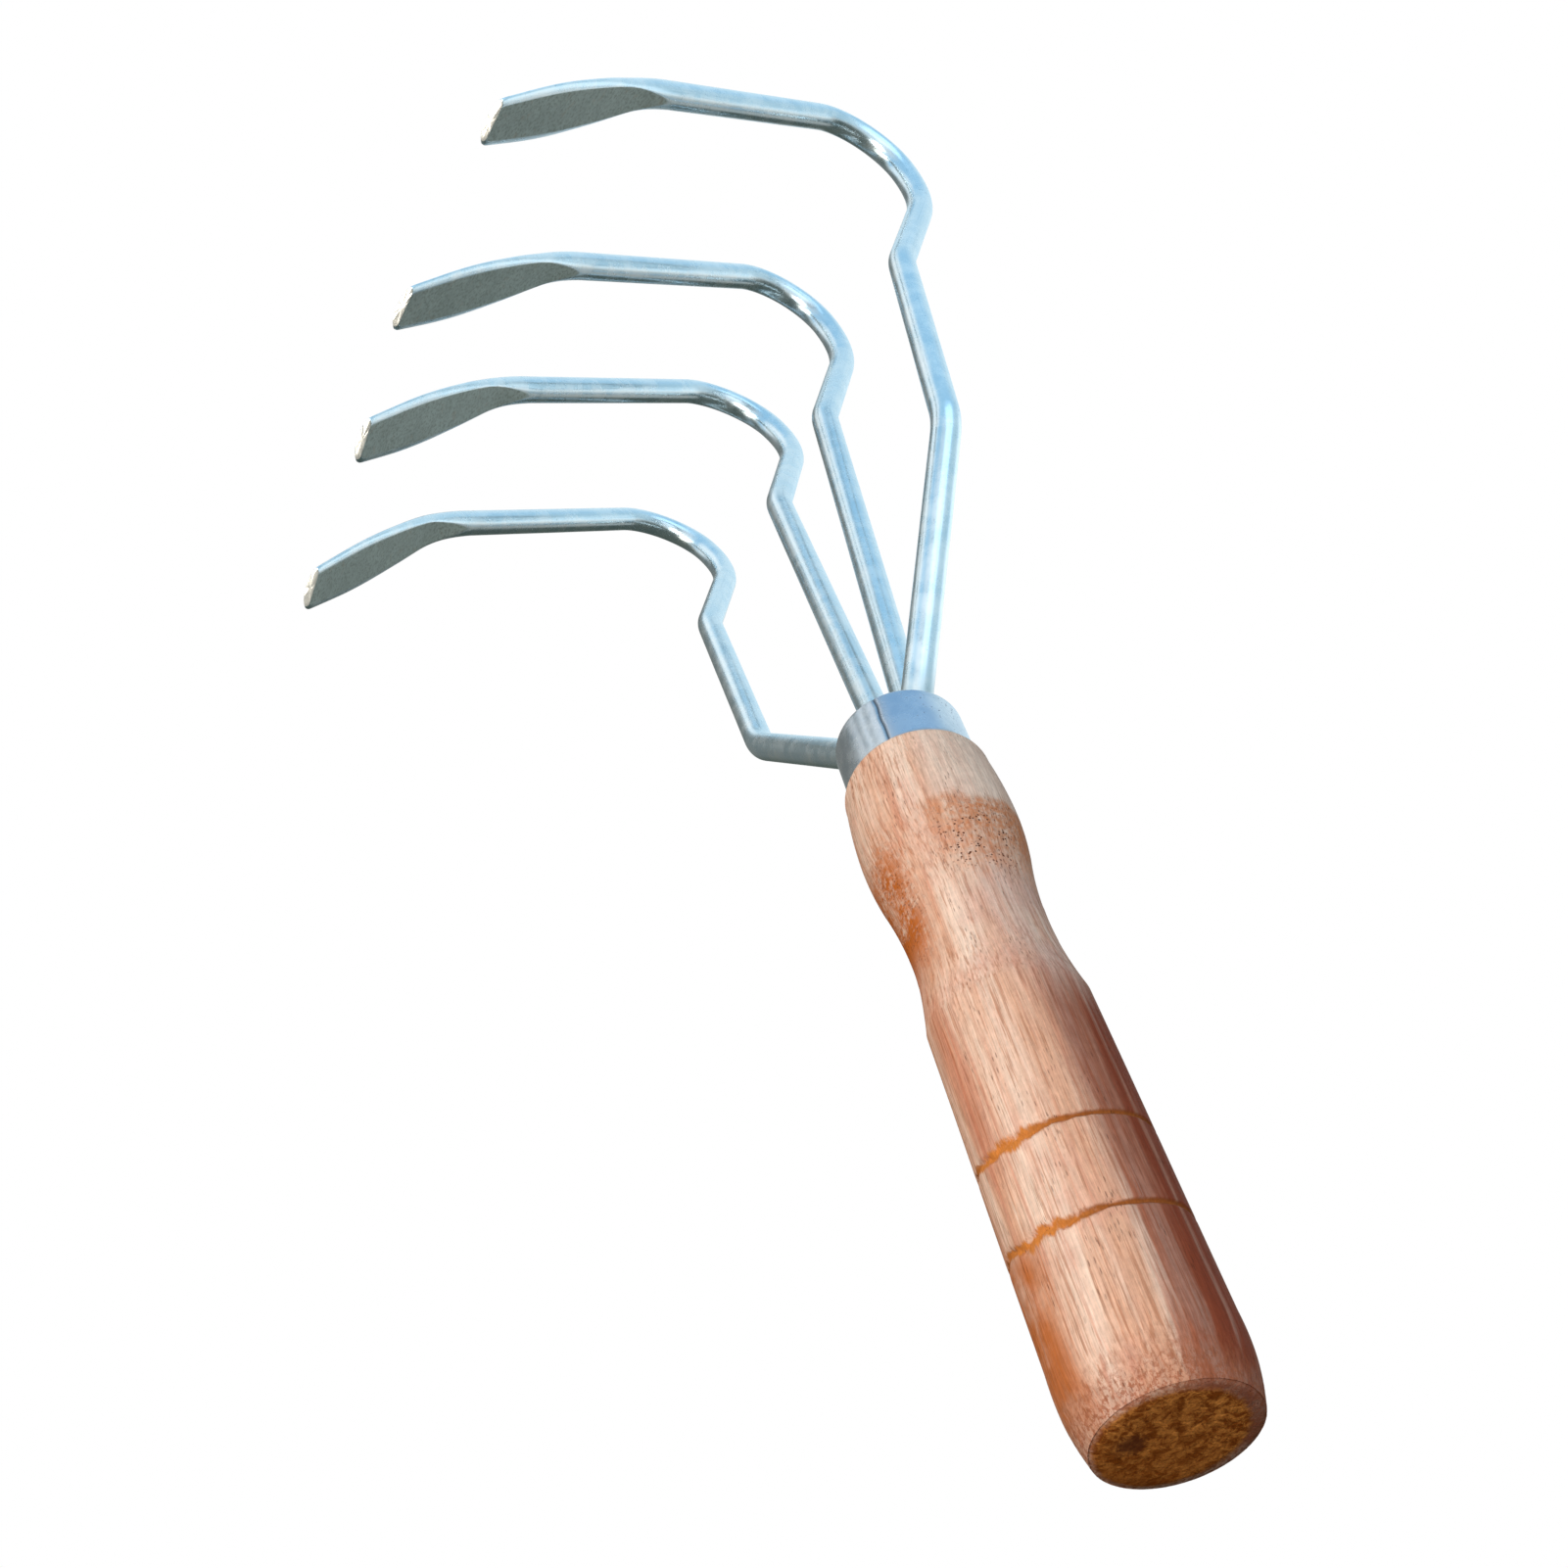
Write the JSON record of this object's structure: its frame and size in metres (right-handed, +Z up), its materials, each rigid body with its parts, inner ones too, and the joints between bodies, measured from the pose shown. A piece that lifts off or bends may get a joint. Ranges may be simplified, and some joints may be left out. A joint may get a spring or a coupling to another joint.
{
  "type": "hand rake",
  "caption": "Short hand rake for loosening soil: plated wire tines with forged flat blades, gathered in a steel ferrule on a turned wooden handle.",
  "frame": {"origin": "centre of the flat butt of the handle", "axes": "+X along the handle axis towards the tines, +Y to the left across the row of tines, +Z up; the tines dig towards -Z"},
  "size_m": [0.322, 0.1212, 0.1177],
  "materials": {
    "handle_wood": "turned and sanded bare wood, fine lengthwise grain, scorched ring lines",
    "ferrule_steel": "plated rolled steel, satin, lightly pitted",
    "plated_wire": "zinc plated round wire, satin, darker on the forged blade faces",
    "weld_metal": "rough plated weld bead"
  },
  "bodies": {
    "root": {"handle": "handle_wood", "ferrule": "ferrule_steel", "tine_outer_left": "plated_wire", "tine_inner_left": "plated_wire", "tine_inner_right": "plated_wire", "tine_outer_right": "plated_wire", "root_weld": "weld_metal"}
  },
  "joints": []
}
